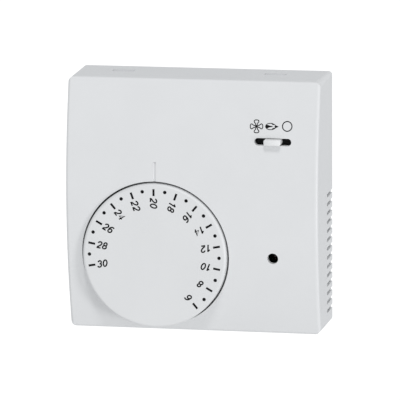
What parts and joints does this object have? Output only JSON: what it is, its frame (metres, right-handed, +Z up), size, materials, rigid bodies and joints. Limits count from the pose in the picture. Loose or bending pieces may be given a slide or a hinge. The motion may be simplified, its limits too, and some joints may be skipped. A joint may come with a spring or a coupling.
{
  "type": "wall thermostat",
  "caption": "Square room thermostat with a bulged clip-on cover, a flat printed dial, a mode slider, a lamp window and a gas-capsule switch mechanism on a slotted base plate.",
  "frame": {"origin": "centre of the base plate's rear face, on the wall plane", "axes": "+Z up, +X to the right seen from the room, +Y into the wall, so the front looks along -Y"},
  "size_m": [0.084, 0.0307, 0.084],
  "materials": {
    "casing_white": "fine matt moulded ABS",
    "dial_white": "satin moulded ABS",
    "knob_white": "satin moulded ABS",
    "base_white": "satin moulded ABS",
    "print_black": "pad-printed ink",
    "zinc_steel": "zinc plated",
    "brass": "turned",
    "bronze": "rolled bronze sheet",
    "copper": "drawn copper",
    "black_plastic": "moulded",
    "cream_plastic": "moulded",
    "red_plastic": "moulded",
    "board_green": "solder mask",
    "board_brown": "phenolic",
    "lamp_red": "dark tinted lens",
    "resistor_tan": "lacquered",
    "wire_blue": "PVC insulation"
  },
  "bodies": {
    "base": {"base_plate": "base_white", "spindle_bush": "brass", "guide_post": "zinc_steel", "range_spring": "zinc_steel", "mechanism_bracket": "zinc_steel", "bracket_screws": "zinc_steel", "capsule_rear_disc": "bronze", "capsule_front_disc": "bronze", "capsule_button": "brass", "filling_tube": "copper", "lever_pin": "zinc_steel", "switch_case": "black_plastic", "switch_lid": "cream_plastic", "snap_blade": "copper", "switch_contacts": "brass", "switch_terminals": "brass", "switch_screws": "zinc_steel", "terminal_block": "cream_plastic", "terminal_clamps": "zinc_steel", "terminal_screws": "zinc_steel", "circuit_board": "board_green", "board_screws": "zinc_steel", "slide_switch_base": "board_brown", "slide_switch_can": "zinc_steel", "lamp": "lamp_red", "lamp_holder": "black_plastic", "lamp_leads": "zinc_steel", "heater_resistor": "resistor_tan", "resistor_leads": "zinc_steel", "hookup_wires": "wire_blue"},
    "cover": {"cover_shell": "casing_white"},
    "dial": {"dial": "dial_white", "dial_retaining_ring": "zinc_steel"},
    "spindle": {"spindle": "brass", "spindle_clip": "zinc_steel"},
    "range_nut": {"range_nut": "black_plastic"},
    "lever": {"switch_lever": "zinc_steel"},
    "plunger": {"switch_plunger": "red_plastic"},
    "slider": {"slider_foot": "black_plastic", "mode_knob": "knob_white", "dust_shield": "black_plastic"}
  },
  "joints": [
    {"name": "cover_slide", "type": "slide", "parent": "base", "child": "cover", "axis": [0, -1, 0], "range_m": [0, 0.045]},
    {"name": "dial_turn", "type": "hinge", "parent": "cover", "child": "dial", "pos_m": [-0.0122, -0.025, -0.01595], "axis": [0, -1, 0], "range_deg": [-100, 140]},
    {"name": "spindle_turn", "type": "hinge", "parent": "base", "child": "spindle", "pos_m": [-0.0122, -0.016, -0.01595], "axis": [0, -1, 0], "range_deg": [-101, 141]},
    {"name": "nut_slide", "type": "slide", "parent": "base", "child": "range_nut", "axis": [0, -1, 0], "range_m": [-0.00043, 0.0006], "deforming": ["range_spring"]},
    {"name": "lever_swing", "type": "hinge", "parent": "base", "child": "lever", "pos_m": [-0.0262, -0.0095, -0.01595], "axis": [0, 0, -1], "range_deg": [0, 1.6], "stiffness_Nm_per_rad": 0.05, "springref_deg": -2.86},
    {"name": "plunger_slide", "type": "slide", "parent": "base", "child": "plunger", "axis": [0, -1, 0], "range_m": [0, 0.001]},
    {"name": "mode_slide", "type": "slide", "parent": "base", "child": "slider", "axis": [1, 0, 0], "range_m": [-0.0028, 0.0028]}
  ],
  "couplings": [
    {"joint": "spindle_turn", "follows": "dial_turn", "ratio": 1},
    {"joint": "nut_slide", "follows": "dial_turn", "m_per_rad": 0.00023873},
    {"joint": "plunger_slide", "follows": "lever_swing", "m_per_rad": 0.034}
  ]
}
